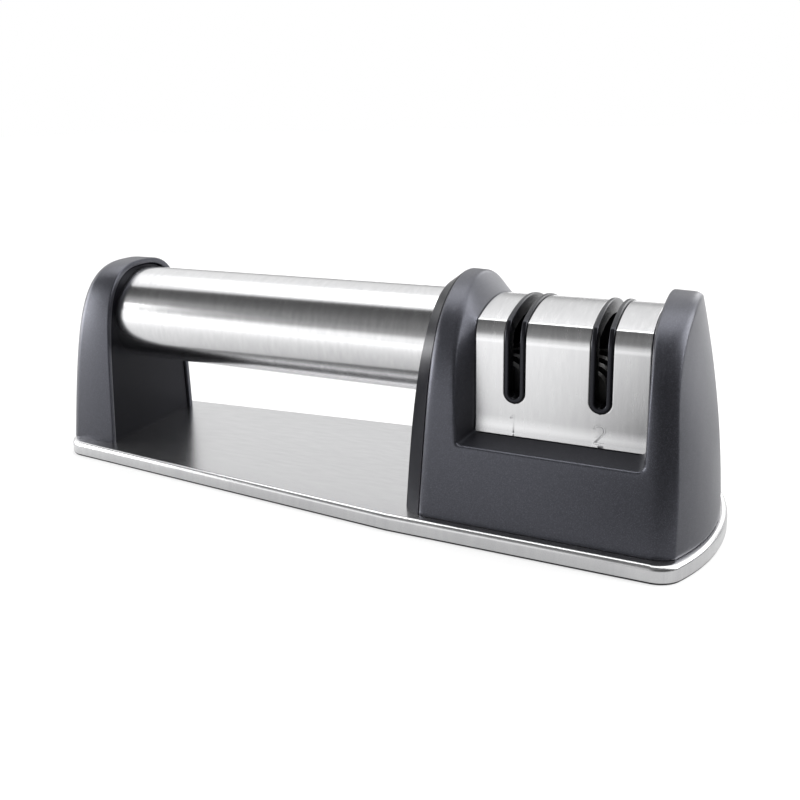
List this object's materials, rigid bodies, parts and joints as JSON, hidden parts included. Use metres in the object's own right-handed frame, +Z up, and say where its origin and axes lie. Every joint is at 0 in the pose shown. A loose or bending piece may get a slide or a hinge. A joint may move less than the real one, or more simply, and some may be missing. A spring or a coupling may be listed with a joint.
{
  "type": "pull through knife sharpener",
  "caption": "Bench knife sharpener: a round steel handle over a long plate, held by a slim post and a domed housing whose slots lead a blade onto interleaved sharpening discs.",
  "frame": {"origin": "on the table under the middle of the base plate", "axes": "+X along the handle from the slim post to the sharpening housing, +Y across the handle away from the numbered side, +Z up"},
  "size_m": [0.2036, 0.067, 0.0645],
  "materials": {
    "brushed_plate": "fine straight brushing along the plate",
    "brushed_cover": "fine upright brushing on the cover",
    "brushed_tube": "fine brushing around the tube",
    "shell_plastic": "charcoal plastic with a fine satin texture",
    "cover_plastic": "dark smooth plastic",
    "inner_plastic": "plain black plastic, hidden",
    "liner_plastic": "dark plastic with a satin gloss",
    "pad_rubber": "black non-slip rubber",
    "screw_steel": "plated screw steel",
    "pin_steel": "turned steel",
    "coarse_discs": "coarse dark abrasive discs",
    "fine_discs": "pale ceramic discs"
  },
  "bodies": {
    "stand": {"base_tray": "brushed_plate", "base_core": "inner_plastic", "grip_pad": "pad_rubber", "base_screws": "screw_steel", "post_shell": "shell_plastic", "post_panel": "cover_plastic", "handle_tube": "brushed_tube", "handle_plug_left": "inner_plastic", "handle_plug_right": "inner_plastic", "handle_screws": "screw_steel", "housing_shell": "shell_plastic", "housing_panel": "cover_plastic", "steel_cover": "brushed_cover", "slot_liner_1": "liner_plastic", "slot_liner_2": "liner_plastic", "wheel_frame": "inner_plastic", "axle_pins": "pin_steel"},
    "disc_set_1_left": {"hub_1_left": "inner_plastic", "discs_1_left": "coarse_discs"},
    "disc_set_1_right": {"hub_1_right": "inner_plastic", "discs_1_right": "coarse_discs"},
    "disc_set_2_left": {"hub_2_left": "inner_plastic", "discs_2_left": "fine_discs"},
    "disc_set_2_right": {"hub_2_right": "inner_plastic", "discs_2_right": "fine_discs"}
  },
  "joints": [
    {"name": "spin_1_left", "type": "hinge", "parent": "stand", "child": "disc_set_1_left", "pos_m": [0.04604, 0, 0.03717], "axis": [0, 1, 0], "continuous": true},
    {"name": "spin_1_right", "type": "hinge", "parent": "stand", "child": "disc_set_1_right", "pos_m": [0.05606, 0, 0.03717], "axis": [0, 1, 0], "continuous": true},
    {"name": "spin_2_left", "type": "hinge", "parent": "stand", "child": "disc_set_2_left", "pos_m": [0.06754, 0, 0.03717], "axis": [0, 1, 0], "continuous": true},
    {"name": "spin_2_right", "type": "hinge", "parent": "stand", "child": "disc_set_2_right", "pos_m": [0.07756, 0, 0.03717], "axis": [0, 1, 0], "continuous": true}
  ]
}
